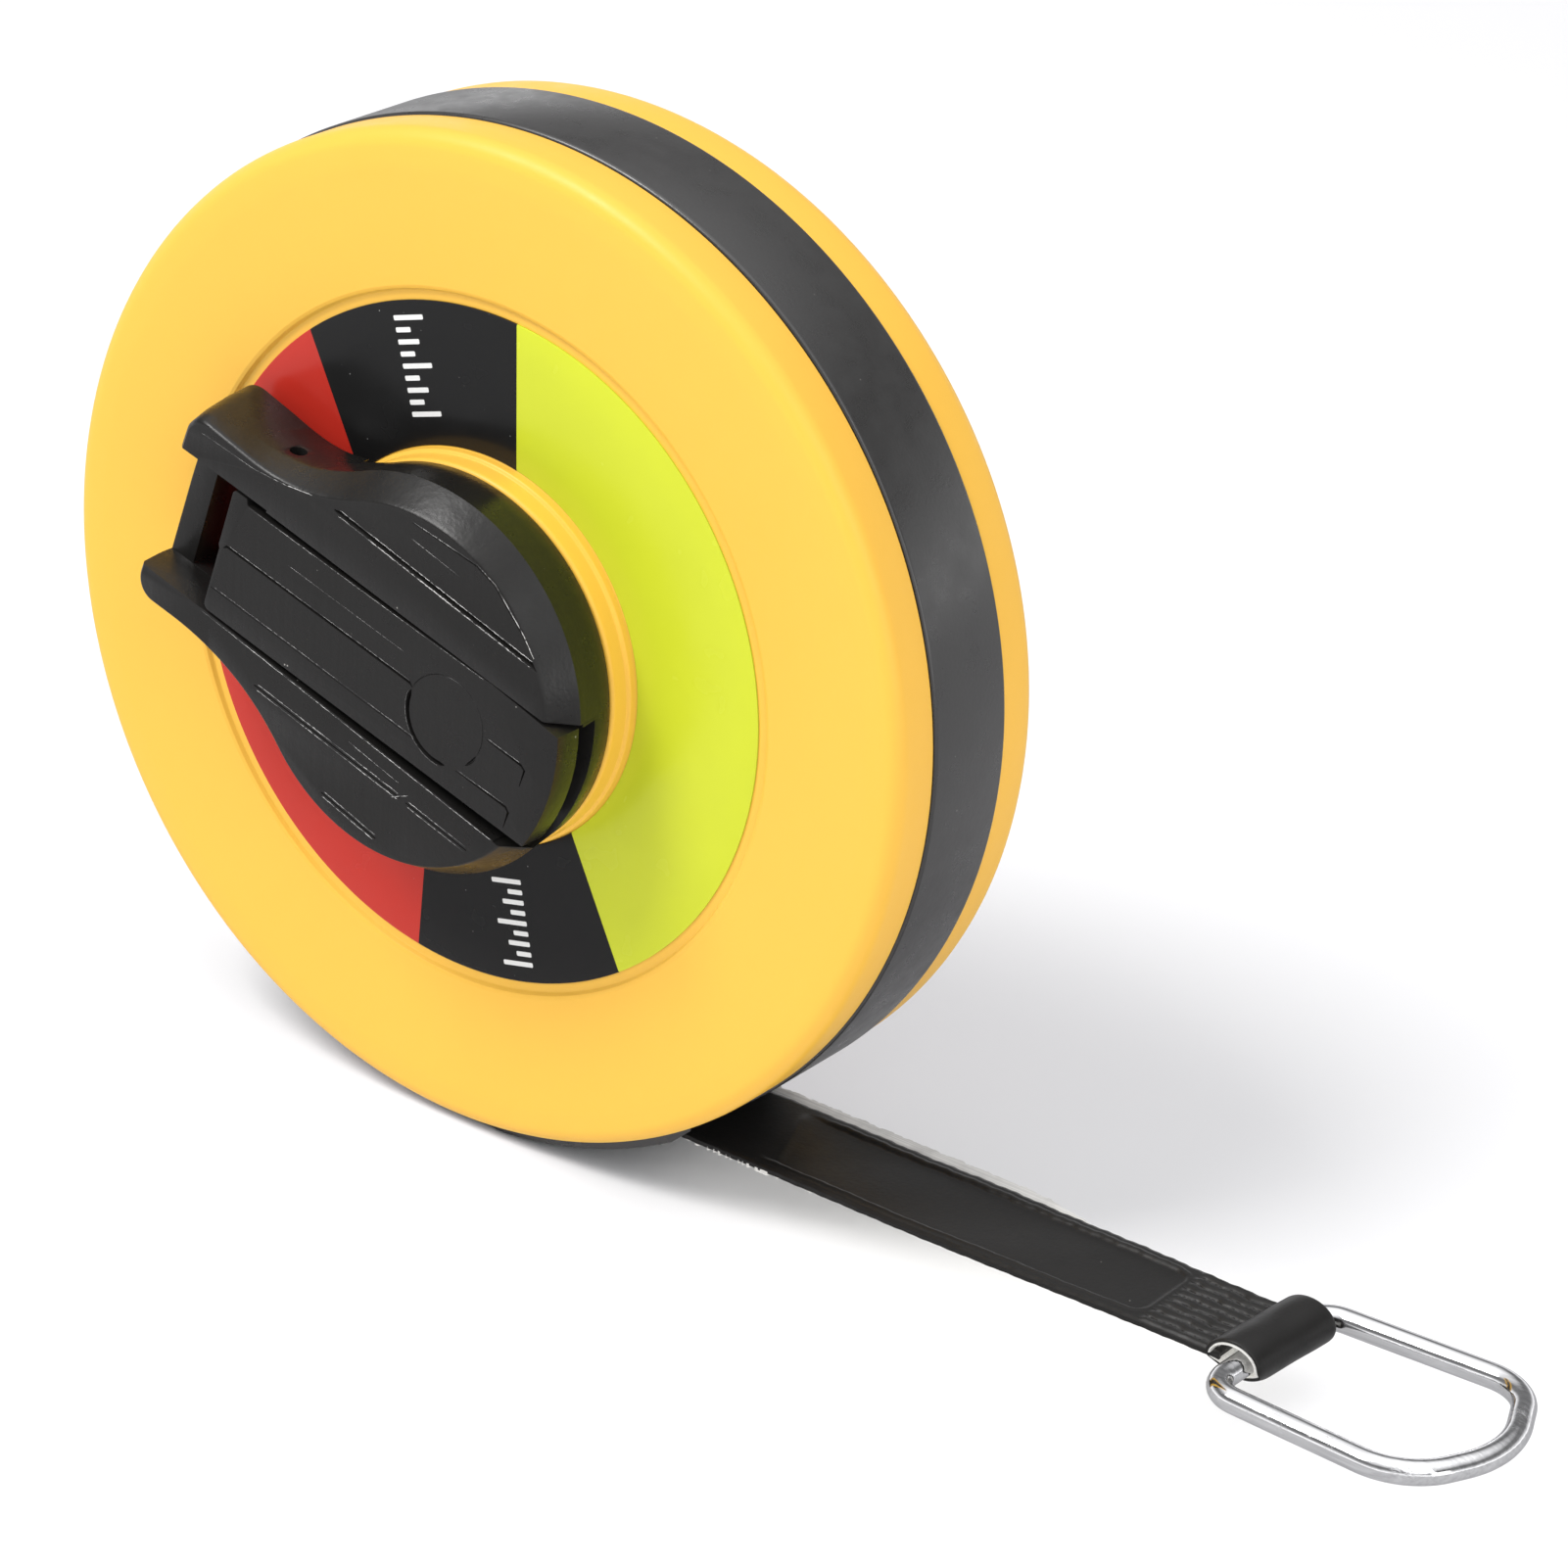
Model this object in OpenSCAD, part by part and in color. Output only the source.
// Closed-case surveyor tape reel: two moulded shells joined by a dark rim band,
// a drum with the wound fibreglass blade, a folding crank with a stowed knob,
// and the blade end with its vinyl leader, folded loop and wire ring.
// Frame: millimetres, +Z up, origin on the reel axis in the rear face, crank on
// the -Y side, blade leaving towards +X at the bottom.
// Name endings: _r radius, _w width, _h height, _l length, _t thickness,
// _lo and _hi the rear and front limits along the reel axis.

/* [Case] */
// Radius of the case over the rim band
case_r = 50; // [48:0.5:52]
// Thickness of the case between its outer faces
case_t = 22.1; // [21.8:0.1:22.6]
// Width of the dark rim band
band_w = 10.96; // [9:0.5:12]
// Radius of the rounded edge between face and rim
edge_r = 2; // [1:0.25:2.5]
// How much lower the shells sit than the rim band
band_proud = 0.25; // [0.1:0.05:0.4]
// Wall thickness of the shells at the rim
wall = 1.8; // [1.5:0.1:2]
// Radius of the shallow round recess in each face
recess_r = 34.8; // [33:0.5:36]
// Outer radius of the raised collar round the hub
collar_r = 19.5; // [19.4:0.05:19.6]
// Height of the collar top above the rear face
collar_h = 23.9; // [23.8:0.05:24.1]

/* [Label] */
// Outer radius of the printed ring
label_r = 33.45; // [32:0.25:34]
// Direction of the middle of the upper dark sector, in degrees
sector_dir = 106; // [90:1:120]
// Half angle of the dark sectors at the outer edge, in degrees
sector_half = 22.3; // [16:0.5:28]
// Half angle of the dark sectors at the inner edge, in degrees
sector_neck = 29.6; // [20:0.5:34]

/* [Blade and drum] */
// Width of the fibreglass blade
blade_w = 13; // [12.5:0.1:13.2]
// Outer radius of the wound blade
coil_r = 43.4; // [38:0.5:43.5]
// Radius of the drum core
core_r = 20; // [19.9:0.05:20.1]
// Height of the blade's top face below the reel axis, where it leaves
blade_drop = 44.2; // [44.1:0.05:44.4]
// Thickness of the vinyl cover on the leader
cover_t = 0.4; // [0.3:0.05:0.4]
// Thickness of the blade
blade_t = 0.43; // [0.35:0.02:0.45]

/* [Crank] */
// Direction of the crank arm from the hub, in degrees
crank_dir = 163.5; // [0:0.5:360]
// Height of the crank's top face above the rear face
crank_top = 32.05; // [31.8:0.05:32.3]
// Half width of the crank arm
arm_w = 10; // [9.6:0.1:10.4]
// Distance from the hub axis to the arm's tip
arm_x = 31.2; // [30.8:0.1:31.8]
// Half width of the slot the folding lever lies in
slot_w = 7; // [6.9:0.05:7.1]
// Distance from the hub axis to the lever's hinge pin
pin_x = 20; // [19.8:0.1:20.2]
// Radius of the lever's hinge pin
pin_r = 0.9; // [0.8:0.05:1]
// Distance of the stowed knob behind the hub axis
knob_x = 6.35; // [6:0.05:6.6]
// Radius of the knob
knob_r = 5.5; // [5:0.1:5.6]
// Length of the knob
knob_l = 11.4; // [10:0.2:11.6]

/* [Loop and ring] */
// Distance from the reel axis to the middle of the end loop
loop_x = 87.1; // [80:0.1:95]
// Outer radius of the end loop
loop_r = 2.35; // [2.3:0.05:2.5]
// Radius of the ring's wire
wire_r = 1.2; // [1.1:0.02:1.3]
// Length of the ring between wire centres
ring_l = 24.8; // [22:0.2:30]
// Width of the ring between wire centres at the loop
ring_w1 = 18.3; // [18:0.1:19]
// Width of the ring between wire centres near its far end
ring_w2 = 20.2; // [19.6:0.1:20.4]

/* [Hidden] */
$fn = 96;

yellow = [1.0, 0.80, 0.25];
black = [0.13, 0.13, 0.13];
dark_grey = [0.2, 0.2, 0.2];
steel = [0.78, 0.79, 0.80];

// Case
mid = case_t / 2;                     // plane through the middle of the case
band_lo = mid - band_w / 2;
band_hi = mid + band_w / 2;
band_gap = 0.02;                      // between shells and band, along the axis
shell_r = case_r - band_proud;        // outer radius of the shells
shell_in_r = shell_r - wall;
edge_x = shell_r - edge_r;            // centre of the rounded edge
sleeve_r = shell_in_r - 0.05;         // outer radius of the band's inner sleeve
sleeve_in_r = 46.6;
sleeve_reach = 1.6;                   // sleeve beyond the band on each side
front_in = case_t - 3;                // inside of the front face
rear_in = 2.2;                        // inside of the rear face
inner_bevel = 0.6;                    // inside, between face and rim
front_face = case_t - 0.75;           // front face height next to the recess
label_floor = case_t - 1.3;
rear_recess = 0.6;                    // depth of the recess in the rear face
collar_bore_r = 17.5;

// Mouth guide
guide_from = -80;                     // directions of its two ends
guide_to = -54.9;
guide_wall = 0.6;
mouth_lo = mid - 8.3;
mouth_hi = mid + 6.85;

// Axle
axle_r = 5;
axle_h = 9.5;
bush_r = 6.5;
washer_hi = axle_h + 0.7;

// Drum
core_lo = mid - 6.7;
core_hi = mid + 6.7;
shoulder_r = 18.6;                    // seat of the front flange
neck_r = collar_bore_r - 0.08;        // journal of the drum in the collar
flange_r = coil_r + 0.6;
cup_r = 15.6;                         // hollow of the drum for the knob
cup_top = collar_h - 0.1;
boss_lo = 4.8;
anchor_y = 18.95;
screw_x = 11.5;                       // crank screws from the hub axis

// Blade
blade_half = blade_w / 2;
blade_lo = mid - blade_half;
y_top = -blade_drop;                  // blade levels where it leaves the case
y_mid = y_top - cover_t;
y_low = y_mid - blade_t;
leader_x0 = 11;
leader_x1 = loop_x - loop_r;
front_trim = 1.2;                     // leader narrower by this on the front side
crimp_x = 76.6;

// Crank
pin_h = crank_top - 2.25;             // hinge pin above the rear face
lever_lo = crank_top - 3.05;          // underside of the folded lever
lever_w = slot_w - 0.55;              // half width of the lever
lever_x = pin_x + 3.25;               // hinge end of the lever
skirt_r = cup_r - 0.05;
skirt_lo = 13;
skirt_floor = 1.6;
floor_top = skirt_lo + skirt_floor;
tip_bar_w = 2.2;
arm_hub_r = 17.3;                     // outline of the arm at the hub
arm_blend_r = 25;                     // concave blend from hub to arm
arm_tip_r = 2.2;                      // rounded tip corners
knob_y = 0.12;
knob_lo = lever_lo - 0.15 - knob_l;
spindle_r = 1.6;

// Places solids drawn as seen from the crank side (x right, y up, z towards
// the viewer, z = 0 in the rear face) in the part's frame.
module seen() { rotate([90, 0, 0]) children(); }
module crank_frame() { seen() rotate([0, 0, crank_dir]) children(); }
module knob_frame() { crank_frame() translate([-knob_x, knob_y, 0]) children(); }

// Repeats its children at the three crank screws, with the arm along +x
module at_screws() {
    for (turn = [60, 180, 300])
        rotate([0, 0, turn]) translate([screw_x, 0, 0]) children();
}

function arc(x, y, radius, from, to, steps) =
    [for (i = [0 : steps])
        let (angle = from + (to - from) * i / steps)
        [x + radius * cos(angle), y + radius * sin(angle)]];

// Turned solid from a [radius, height] outline
module lathe(outline) { rotate_extrude() polygon(outline); }

module tube(outer, inner, lo, hi) {
    translate([0, 0, lo]) difference() {
        cylinder(r = outer, h = hi - lo);
        translate([0, 0, -1]) cylinder(r = inner, h = hi - lo + 2);
    }
}

// Piece of a ring between two radii, two directions and two heights
module sector(inner, outer, from, to, lo, hi) {
    translate([0, 0, lo]) rotate([0, 0, from])
        rotate_extrude(angle = to - from)
            translate([inner, 0]) square([outer - inner, hi - lo]);
}

// Crossed slots cut into a screw head from height lo upwards
module cross_slots(length, width, lo) {
    for (turn = [0, 90]) rotate([0, 0, turn])
        translate([-length / 2, -width / 2, lo]) cube([length, width, 2]);
}

// Window in rim and shells that takes the mouth guide
module guide_window() {
    margin = guide_wall + 0.05;
    sector(46.3, case_r + 2, guide_from, guide_to, mouth_lo - margin, mouth_hi + margin);
}

module front_shell() {
    color(yellow) seen() difference() {
        lathe(concat(
            // collar: bore, rounded top and stepped flank
            [[collar_bore_r, front_in], [collar_bore_r, collar_h - 0.3],
             [collar_bore_r + 0.3, collar_h]],
            arc(collar_r - 1.0, collar_h - 0.55, 0.55, 90, 0, 6),
            [[collar_r - 0.45, collar_h - 1.9], [collar_r - 0.12, collar_h - 2.05]],
            arc(collar_r - 0.4, collar_h - 2.45, 0.4, 60, 0, 4),
            // recess and face
            [[collar_r, label_floor], [recess_r - 0.35, label_floor],
             [recess_r - 0.1, front_face - 0.12], [recess_r + 0.12, front_face],
             [edge_x - 0.6, case_t - 0.02]],
            // rounded edge, rim and inside
            arc(edge_x, case_t - edge_r, edge_r, 90, 0, 10),
            [[shell_r, band_hi + band_gap], [shell_in_r, band_hi + band_gap],
             [shell_in_r, front_in - inner_bevel], [shell_in_r - inner_bevel, front_in]]));
        guide_window();
    }
}

module rear_shell() {
    color(yellow) seen() difference() {
        union() {
            lathe(concat(
                // central pad, recess and face
                [[0, 0], [9.7, 0], [10, 0.3], [10.3, rear_recess],
                 [recess_r - 0.35, rear_recess], [recess_r, 0.1], [recess_r + 0.15, 0]],
                // rounded edge, rim, inside and axle
                arc(edge_x, edge_r, edge_r, -90, 0, 10),
                [[shell_r, band_lo - band_gap], [shell_in_r, band_lo - band_gap],
                 [shell_in_r, rear_in + inner_bevel], [shell_in_r - inner_bevel, rear_in],
                 [axle_r, rear_in], [axle_r, axle_h], [0, axle_h]]));
            // ribs inside the face, clear of the drum
            for (turn = [30 : 60 : 330]) rotate([0, 0, turn])
                translate([9, -0.6, rear_in - 0.2]) cube([30, 1.2, 0.75]);
        }
        // hole for the axle screw
        translate([0, 0, 3.2]) cylinder(r = 1.25, h = 8);
        guide_window();
        // ring groove in the rear recess
        tube(21.2, 20.4, -1, rear_recess + 0.3);
    }
}

module rim_band() {
    bevel = 0.3;
    sleeve_lo = band_lo - sleeve_reach;
    sleeve_hi = band_hi + sleeve_reach;
    color(black) seen() difference() {
        lathe([[sleeve_in_r, sleeve_lo], [sleeve_r, sleeve_lo], [sleeve_r, band_lo],
               [case_r - bevel, band_lo], [case_r, band_lo + bevel],
               [case_r, band_hi - bevel], [case_r - bevel, band_hi],
               [sleeve_r, band_hi], [sleeve_r, sleeve_hi], [sleeve_in_r, sleeve_hi]]);
        guide_window();
        // the sleeve is open below the drum, where the leader runs in
        intersection() {
            cylinder(r = sleeve_r, h = case_t);
            translate([-30, -50, 0]) cube([60, 50 + y_top + 0.9, case_t]);
        }
    }
}

module mouth_guide() {
    mouth_w = mouth_hi - mouth_lo;
    slot_top = y_top + 0.45;
    slot_bottom = y_low - 0.5;
    color(black) seen() difference() {
        union() {
            sector(46.7, case_r, guide_from + 0.1, guide_to - 0.1,
                   mouth_lo - guide_wall, mouth_hi + guide_wall);
            // proud lip along the foot of the front shell
            sector(shell_r + 0.01, case_r + 0.7, guide_from - 4, -60,
                   band_hi + 0.1, case_t - 2.2);
        }
        translate([0, slot_bottom, mouth_lo]) cube([60, slot_top - slot_bottom, mouth_w]);
        // lead-in at the outside of the slot
        translate([case_r / 2 - 0.7, slot_top, mouth_lo]) rotate([0, 0, 30])
            cube([6, 1.2, mouth_w]);
    }
}

// Thin printed ring; its two sectors stand a hair above it and are bounded by
// straight lines, drawn a fifth too long at both ends.
module front_label() {
    label_lo = label_floor + 0.02;
    label_t = 0.15;
    raise = 0.05;
    inner_corner = collar_r * [cos(sector_neck), sin(sector_neck)];
    outer_corner = label_r * [cos(sector_half), sin(sector_half)];
    overrun = 0.2 * (outer_corner - inner_corner);
    start = inner_corner - overrun;
    end = outer_corner + overrun;
    color([0.86, 0.90, 0.22]) seen() union() {
        tube(label_r, collar_r + 0.15, label_lo, label_lo + label_t);
        for (direction = [sector_dir, sector_dir + 177]) intersection() {
            tube(label_r - 0.35, collar_r + 0.5, label_lo + raise, label_lo + label_t + raise);
            rotate([0, 0, direction]) linear_extrude(height = 40)
                polygon([[start[0], -start[1]], [end[0], -end[1]], end, start]);
        }
    }
}

module axle_bush() {
    bore_r = axle_r + 0.02;
    color([0.85, 0.83, 0.78]) seen() union() {
        tube(bush_r, bore_r, rear_in, 9.3);
        tube(8.4, bore_r, rear_in, rear_in + 1);
    }
}

module drum() {
    bore_r = bush_r + 0.06;
    color(dark_grey) seen() difference() {
        union() {
            lathe([
                // rear flange
                [bore_r, 3.35], [flange_r, 3.35], [flange_r, 4.2], [flange_r - 0.3, core_lo],
                // core, shoulder for the front flange and journal for the collar
                [core_r, core_lo], [core_r, core_hi], [shoulder_r, core_hi],
                [shoulder_r, core_hi + 1], [neck_r, core_hi + 1], [neck_r, cup_top],
                // hollow and hub
                [cup_r, cup_top], [cup_r, 11.4], [17, 11.4], [17, 5.2],
                [9, 5.2], [9, 9.35], [bore_r, 9.35]]);
            // bosses for the crank screws, with webs to the core
            rotate([0, 0, crank_dir]) at_screws() {
                translate([0, 0, boss_lo]) cylinder(r = 2.4, h = 8.1);
                translate([1.7, -0.8, boss_lo]) cube([4.2, 1.6, 6.4]);
            }
        }
        rotate([0, 0, crank_dir]) at_screws()
            translate([0, 0, 6]) cylinder(r = 0.95, h = 10);
        // groove that takes the inner end of the blade and its anchor rod
        translate([0, anchor_y, core_lo]) cylinder(r = 1.03, h = core_hi - core_lo);
        translate([-0.6, anchor_y, core_lo]) cube([1.2, 3, core_hi - core_lo]);
    }
}

module front_flange() {
    bore_r = shoulder_r + 0.05;
    flange_hi = core_hi + 0.95;
    color(dark_grey) seen() lathe([
        [bore_r, core_hi], [flange_r - 0.3, core_hi], [flange_r, core_hi + 0.2],
        [flange_r, flange_hi], [bore_r, flange_hi]]);
}

module wound_blade() {
    color([0.93, 0.88, 0.55]) seen() tube(coil_r, core_r + 0.02, blade_lo, mid + blade_half);
}

module blade_anchor() {
    color(steel) seen() translate([0, anchor_y, blade_lo]) cylinder(r = 1.0, h = blade_w);
}

module axle_washer() {
    color(steel) seen() tube(7.8, 1.5, axle_h, washer_hi);
}

module axle_screw() {
    color(steel) seen() difference() {
        union() {
            translate([0, 0, 4]) cylinder(r = 1.22, h = 6.4);
            translate([0, 0, washer_hi]) cylinder(r = 2.6, h = 1.5);
        }
        cross_slots(length = 3, width = 0.6, lo = washer_hi + 0.8);
    }
}

// Outline of the crank's arm seen from the front: the +y edge from the tip to
// the hub, then its mirror image back to the tip
blend_y = arm_w + arm_blend_r;
blend_x = sqrt(pow(arm_hub_r + arm_blend_r, 2) - pow(blend_y, 2));
arm_edge = concat(
    arc(arm_x - arm_tip_r, arm_w - arm_tip_r, arm_tip_r, 0, 90, 8),
    arc(blend_x, blend_y, arm_blend_r, 270, 180 + atan2(blend_y, blend_x), 14),
    [[0, arm_hub_r * 0.8]]);
arm_outline = concat(arm_edge,
    [for (i = [len(arm_edge) - 1 : -1 : 0]) [arm_edge[i][0], -arm_edge[i][1]]]);

// Grooves in the hub's top face: start x, start y, length, width, direction
hub_grooves = [
    [-13.4, -11.35, 25.4, 0.55, -2.6],
    [-12.6, 10.75, 27.4, 0.55, -2.2],
    [-2.1, 16.0, 6.5, 0.5, -2]];

// Round hub, arm with two deep rails, and the skirt inside the drum
module crank_body() {
    hub_lo = collar_h + 0.25;
    lathe([[0, hub_lo], [18.7, hub_lo], [18.95, hub_lo + 0.25],
           [19.6, crank_top - 3.0], [19.4, crank_top - 2.75],
           [17.75, crank_top - 0.35], [17.4, crank_top], [0, crank_top]]);
    difference() {
        translate([0, 0, crank_top - 9.5]) linear_extrude(height = 9.4)
            polygon(arm_outline);
        // clearance over the collar
        translate([0, 0, crank_top - 12])
            cylinder(r = collar_r + 0.45, h = 12 - crank_top + collar_h + 0.3);
    }
    tube(skirt_r, 14.2, skirt_lo, collar_h + 1);
    translate([0, 0, skirt_lo]) cylinder(r = skirt_r, h = skirt_floor);
}

// Cut over the full width of the lever slot
module slot_cut(x, lo, length, height) {
    translate([x, -slot_w, lo]) cube([length, 2 * slot_w, height]);
}

module crank_arm() {
    hollow_r = 15.4;
    window_x = 20;
    color(black) crank_frame() difference() {
        crank_body();
        // slot for the lever and hollow for the knob
        intersection() {
            slot_cut(-hollow_r, floor_top, 38.4, 30);
            union() {
                cylinder(r = hollow_r, h = 50);
                slot_cut(0, crank_top - 20, 40, 40);
            }
        }
        // open window between lever end and tip bar
        slot_cut(window_x, crank_top - 12, arm_x - tip_bar_w - window_x, 20);
        // the tip bar lies below the top face and above the rails' underside
        slot_cut(window_x, crank_top - 4.58, 20, 10);
        slot_cut(arm_x - 3, crank_top - 14, 6, 5.0);
        // seat of the lever's free end, and the wider notch round it
        slot_cut(-30, lever_lo - 0.2, 30, 10);
        difference() {
            translate([-30, -8.3, crank_top - 5.0]) cube([30, 16.6, 10]);
            cylinder(r = 17.2, h = 60);
        }
        // hinge pin bore, through the +y rail and blind in the -y one
        translate([pin_x, 20, pin_h]) rotate([90, 0, 0]) cylinder(r = pin_r, h = 28.6);
        // hole in the flank of the -y rail
        translate([pin_x + 0.5, -9, crank_top - 4.6]) rotate([90, 0, 0])
            cylinder(r = 0.85, h = 5);
        for (groove = hub_grooves)
            translate([groove[0], groove[1], crank_top - 0.35]) rotate([0, 0, groove[4]])
                cube([groove[2], groove[3], 1]);
        at_screws() translate([0, 0, 10]) cylinder(r = 1.3, h = 8);
    }
}

module crank_screws() {
    head_lo = floor_top + 0.05;
    color(steel) crank_frame() at_screws() difference() {
        union() {
            translate([0, 0, 7.6]) cylinder(r = 0.9, h = 7.2);
            translate([0, 0, head_lo]) cylinder(r = 2.0, h = 1.15);
        }
        cross_slots(length = 2.2, width = 0.5, lo = head_lo + 0.65);
    }
}

module hinge_pin() {
    color(steel) crank_frame() translate([pin_x, 0, pin_h]) rotate([90, 0, 0])
        cylinder(r = pin_r, h = 2 * arm_w - 3, center = true);
}

module flip_lever() {
    panel_x = -15.6;
    color(black) crank_frame() difference() {
        // flat bar whose free end follows the hub's edge
        intersection() {
            translate([-25, -lever_w, lever_lo])
                cube([25 + lever_x, 2 * lever_w, crank_top - lever_lo]);
            union() {
                cylinder(r = 20.3, h = 60);
                translate([0, -20, 0]) cube([60, 40, 60]);
            }
        }
        // long sunk panel on the top face, left standing round the spindle head
        difference() {
            translate([panel_x, -1.3, crank_top - 0.35])
                cube([lever_x + 15.0, 5.4, 1]);
            translate([-knob_x, knob_y, crank_top - 2]) cylinder(r = 4.95, h = 4);
        }
        // seat of the spindle head and hole for the spindle
        translate([-knob_x, knob_y, crank_top - 0.95]) cylinder(r = 4.5, h = 2);
        translate([-knob_x, knob_y, lever_lo - 1]) cylinder(r = spindle_r, h = 6);
        // pin bore
        translate([pin_x, 0, pin_h]) rotate([90, 0, 0])
            cylinder(r = pin_r + 0.08, h = 40, center = true);
        // bevel under the hinge end
        translate([lever_x - 0.8, -10, lever_lo]) rotate([0, -45, 0])
            translate([0, 0, -3]) cube([3, 20, 3]);
    }
}

module knob_spindle() {
    color(dark_grey) knob_frame() union() {
        translate([0, 0, crank_top - 0.95]) cylinder(r = 4.45, h = 0.9);
        translate([0, 0, knob_lo]) cylinder(r = spindle_r, h = knob_l + 3.0);
    }
}

module knob() {
    bore_r = spindle_r + 0.06;
    knob_hi = knob_lo + knob_l;
    color(black) knob_frame() difference() {
        lathe(concat(
            [[bore_r, knob_lo], [knob_r - 1.1, knob_lo]],
            arc(knob_r - 1.1, knob_lo + 1.1, 1.1, -90, 0, 6),
            // slight waist
            [[knob_r - 0.35, knob_lo + 3.4], [knob_r - 0.75, knob_lo + 5.6],
             [knob_r - 0.75, knob_lo + 7.4], [knob_r - 0.3, knob_hi - 1.6]],
            arc(knob_r - 1.0, knob_hi - 0.75, 0.7, 0, 90, 5),
            [[bore_r, knob_hi - 0.05]]));
        // pocket for the retaining clip
        translate([0, 0, knob_lo - 1]) cylinder(r = 3.1, h = 2.1);
    }
}

module spindle_clip() {
    color(steel) knob_frame() tube(2.7, spindle_r + 0.02, knob_lo + 0.25, knob_lo + 0.95);
}

// Flat strip hanging down from height top; outline is [x, distance towards the
// crank side from the middle plane]
module strip(top, thickness, outline) {
    translate([0, top, mid]) rotate([90, 0, 0])
        linear_extrude(height = thickness) polygon(outline);
}

// Leader: vinyl cover on the last stretch of the blade, with a raised frame
// round a flat panel and a crimped zone before the loop.
module leader_cover() {
    cover_half = blade_half + 0.1;
    frame_w = 1.5;
    color(black) seen() {
        difference() {
            strip(y_top, cover_t,
                [[leader_x0, -cover_half], [leader_x1, 0.3 - cover_half],
                 [leader_x1, cover_half - front_trim], [48, cover_half],
                 [leader_x0, cover_half]]);
            translate([33.3, y_top - 0.12, mid - cover_half + frame_w])
                cube([42.4, 1, 2 * (cover_half - frame_w)]);
        }
        // crimp ridges
        for (i = [0 : 8])
            translate([crimp_x, y_top - 0.05, mid - cover_half + 0.9 + i * 1.17])
                cube([leader_x1 - crimp_x - 0.4, 0.25, 0.6]);
    }
}

module blade_end() {
    wide_rear = -blade_half - 1.6;
    rear = 0.2 - blade_half;
    front = blade_half - front_trim;
    color([0.95, 0.94, 0.90]) seen()
        strip(y_mid - 0.02, blade_t - 0.02,
            [[leader_x0, wide_rear], [54, wide_rear], [64, rear],
             [leader_x1, rear], [leader_x1, front], [leader_x0, front]]);
}

loop_y = (y_top + y_low) / 2;

module end_loop() {
    loop_w = blade_w - 1.15;
    tongue_x = 76;
    color(black) seen() difference() {
        union() {
            translate([loop_x, loop_y, blade_lo]) cylinder(r = loop_r, h = loop_w);
            // tongue under the blade
            translate([tongue_x, y_low - 0.47, blade_lo])
                cube([loop_x - tongue_x, 0.45, loop_w]);
        }
        translate([loop_x, loop_y, -1]) cylinder(r = loop_r - 0.55, h = 40);
    }
}

// Wire ring: straight bar in the loop, two slightly spreading sides and a
// bowed far end, all with true round bends.
ring_offset = 0.9;                    // towards the crank side
side_x = ring_l - 3.3;
side_y = ring_w2 / 2 + 0.3;
ring_corners = [[0, -ring_w1 / 2], [side_x, -side_y], [ring_l + 1.15, 0],
                [side_x, side_y], [0, ring_w1 / 2]];
bend_radii = [3, 5.2, 11, 5.2, 3];
corner_count = len(ring_corners);

function unit(v) = v / norm(v);
function direction(v) = atan2(v[1], v[0]);

// Bend at corner i: [start, end, centre]
function bend(i) =
    let (corner = ring_corners[i],
         back = unit(ring_corners[(i + corner_count - 1) % corner_count] - corner),
         ahead = unit(ring_corners[(i + 1) % corner_count] - corner),
         half_angle = acos(back * ahead) / 2,
         run = bend_radii[i] / tan(half_angle))
    [corner + back * run,
     corner + ahead * run,
     corner + unit(back + ahead) * bend_radii[i] / sin(half_angle)];

// Angle brought into the range -180 to 180
function wrap(angle) = angle > 180 ? angle - 360 : angle < -180 ? angle + 360 : angle;

// The straight runs are drawn a hair thinner than the bends and reach a little
// into them.
module wire(from, to) {
    overlap = 0.05;
    translate([from[0], from[1], 0]) rotate([0, 0, direction(to - from)])
        translate([-overlap, 0, 0]) rotate([0, 90, 0])
            cylinder(r = wire_r - 0.01, h = norm(to - from) + 2 * overlap);
}

module wire_bend(i) {
    ends = bend(i);
    centre = ends[2];
    from = direction(ends[0] - centre);
    to = direction(ends[1] - centre);
    sweep = wrap(to - from);
    translate([centre[0], centre[1], 0]) rotate([0, 0, sweep > 0 ? from : to])
        rotate_extrude(angle = abs(sweep))
            translate([bend_radii[i], 0]) circle(r = wire_r);
}

module end_ring() {
    color([0.85, 0.86, 0.88]) seen()
        translate([loop_x, loop_y, mid + ring_offset]) rotate([90, 0, 0]) union() {
            for (i = [0 : corner_count - 1]) {
                wire(bend(i)[1], bend((i + 1) % corner_count)[0]);
                wire_bend(i);
            }
        }
}

front_shell();
rear_shell();
rim_band();
mouth_guide();
front_label();
axle_bush();
drum();
front_flange();
wound_blade();
blade_anchor();
axle_washer();
axle_screw();
crank_arm();
crank_screws();
hinge_pin();
flip_lever();
knob_spindle();
knob();
spindle_clip();
leader_cover();
blade_end();
end_loop();
end_ring();
